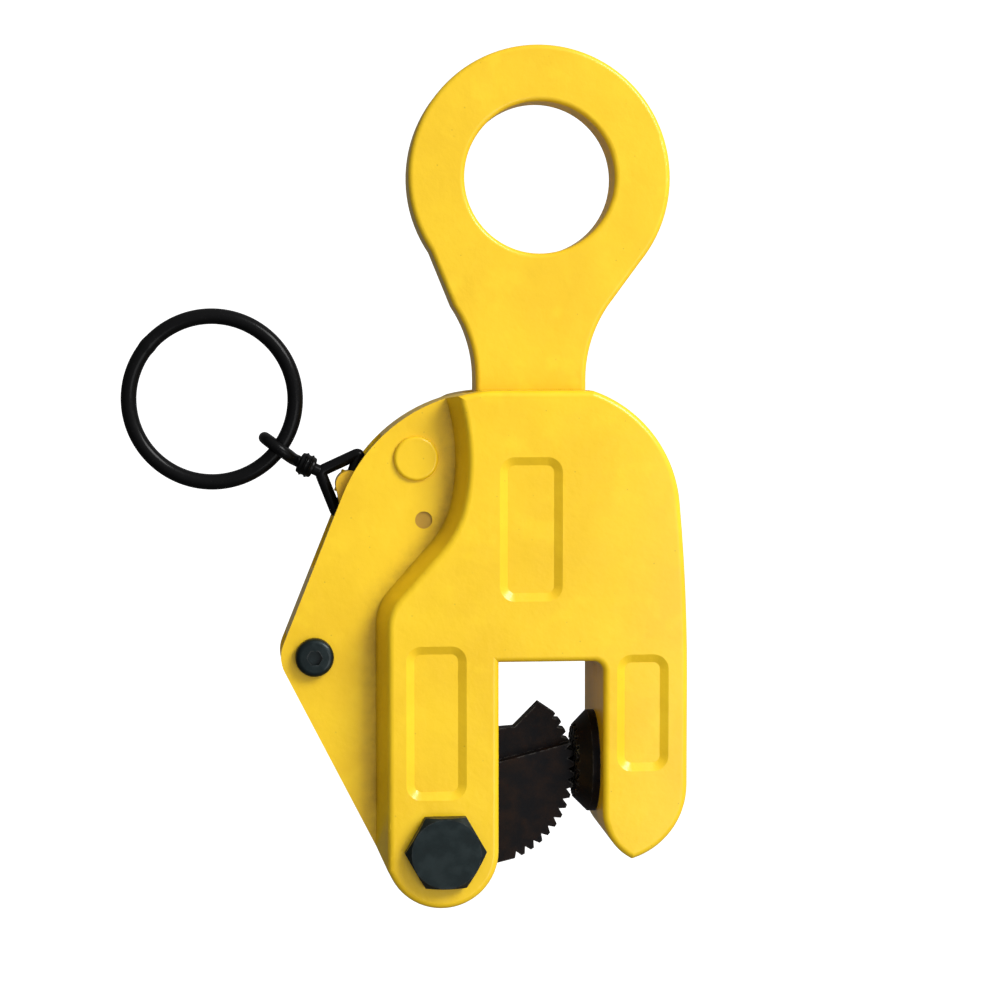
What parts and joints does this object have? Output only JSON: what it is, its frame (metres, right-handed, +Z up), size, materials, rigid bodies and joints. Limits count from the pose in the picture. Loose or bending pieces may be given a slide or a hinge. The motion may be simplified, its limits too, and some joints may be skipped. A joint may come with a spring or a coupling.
{
  "type": "plate lifting clamp",
  "caption": "Vertical plate lifting clamp with a sliding lifting eye, a toothed cam and fixed pad across a bottom slot, and a sprung lock lever with a pull ring.",
  "frame": {"origin": "centre of the lifting eye's hole, at mid thickness", "axes": "+Z up through the eye, front with the pull ring on the left towards -Y, +X to the right, towards the fixed pad"},
  "size_m": [0.1649, 0.0565, 0.2498],
  "materials": {
    "body_paint": "yellow gloss enamel over welded steel",
    "eye_paint": "yellow gloss enamel over forged steel",
    "lever_paint": "yellow enamel, worn at the edges",
    "black_steel": "black oxide on hardened steel, oiled",
    "bare_steel": "plain rolled steel plate",
    "ground_steel": "ground pin steel",
    "zinc_plate": "zinc plated",
    "bronze": "sintered bronze",
    "spring_steel": "oiled spring wire",
    "ring_enamel": "black gloss enamel on wire"
  },
  "bodies": {
    "lifting_eye": {"lifting_eye": "eye_paint", "eye_pin": "ground_steel"},
    "links": {"link_front": "bare_steel", "link_rear": "bare_steel"},
    "clamp_body": {"front_cheek": "body_paint", "rear_cheek": "body_paint", "jaw_frame": "body_paint", "top_spacer": "body_paint", "side_spacer": "body_paint", "weld_beads": "body_paint", "fixed_pad": "black_steel", "pad_screw": "black_steel", "cam_pin": "black_steel", "cam_pin_washer": "zinc_plate", "cam_pin_nut": "zinc_plate", "thrust_washers": "bronze", "lever_pin": "black_steel", "lever_pin_nut": "zinc_plate", "anchor_stud": "body_paint", "stop_pin": "ground_steel"},
    "cam": {"cam": "black_steel", "cam_bush": "bronze", "cam_link_pin": "ground_steel"},
    "lock_lever": {"lock_lever": "lever_paint", "lever_bush": "bronze", "spring_pin": "ground_steel", "lock_spring": "spring_steel"},
    "ring_bail": {"ring_bail": "ring_enamel", "bail_ferrule": "ring_enamel"},
    "pull_ring": {"pull_ring": "ring_enamel"}
  },
  "joints": [
    {"name": "body_slide", "type": "slide", "parent": "lifting_eye", "child": "clamp_body", "axis": [0, 0, 1], "range_m": [0, 0.01573]},
    {"name": "cam_turn", "type": "hinge", "parent": "clamp_body", "child": "cam", "pos_m": [-0.029, 0, -0.1945], "axis": [0, -1, 0], "range_deg": [0, 45]},
    {"name": "link_turn", "type": "hinge", "parent": "lifting_eye", "child": "links", "pos_m": [-0.006, 0, -0.0915], "axis": [0, 1, 0], "range_deg": [0, 14.37]},
    {"name": "lever_turn", "type": "hinge", "parent": "clamp_body", "child": "lock_lever", "pos_m": [-0.0661, 0, -0.139], "axis": [0, -1, 0], "range_deg": [0, 18], "stiffness_Nm_per_rad": 0.25, "springref_deg": -22.92, "deforming": ["lock_spring"]},
    {"name": "bail_turn", "type": "hinge", "parent": "lock_lever", "child": "ring_bail", "pos_m": [-0.0556, 0, -0.0892], "axis": [0.3534, 0, 0.9355], "range_deg": [-45, 20]},
    {"name": "ring_turn", "type": "hinge", "parent": "ring_bail", "child": "pull_ring", "pos_m": [-0.0759, 0, -0.0788], "axis": [0.598, 0, 0.8015], "range_deg": [-75, 75]}
  ],
  "couplings": [
    {"joint": "cam_turn", "follows": "body_slide", "rad_per_m": 49.929},
    {"joint": "link_turn", "follows": "body_slide", "rad_per_m": 15.939}
  ]
}
